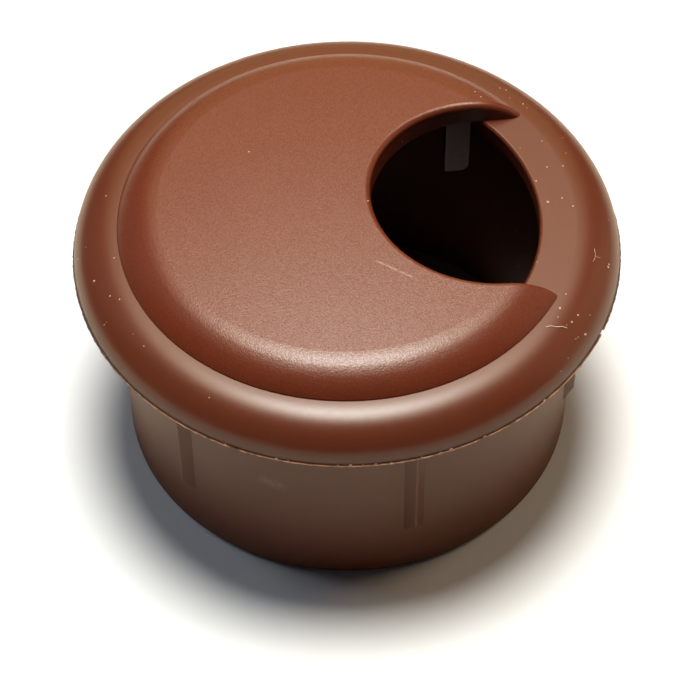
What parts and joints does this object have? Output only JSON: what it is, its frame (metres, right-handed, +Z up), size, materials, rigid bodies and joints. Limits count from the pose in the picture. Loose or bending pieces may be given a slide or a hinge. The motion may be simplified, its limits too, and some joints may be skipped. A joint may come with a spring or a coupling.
{
  "type": "desk cable grommet",
  "caption": "Round desk cable grommet: a flanged, ribbed sleeve for a hole bored in a desktop, with a low snap-in cap that turns to aim its round-ended cable outlet.",
  "frame": {"origin": "centre of the sleeve's foot, the ring that the grommet stands on", "axes": "+Z up, out of the desktop; +X towards the cable outlet in the cap at rest; +Y completes a right-handed frame"},
  "size_m": [0.0696, 0.0696, 0.0398],
  "materials": {
    "liner_plastic": "chocolate brown moulding, smooth satin skin",
    "cap_plastic": "chocolate brown moulding with a fine matt mould texture"
  },
  "bodies": {
    "liner": {"liner": "liner_plastic"},
    "cap": {"cap": "cap_plastic"}
  },
  "joints": [
    {"name": "cap_turn", "type": "hinge", "parent": "liner", "child": "cap", "pos_m": [0, 0, 0.0361], "axis": [0, 0, 1], "continuous": true}
  ]
}
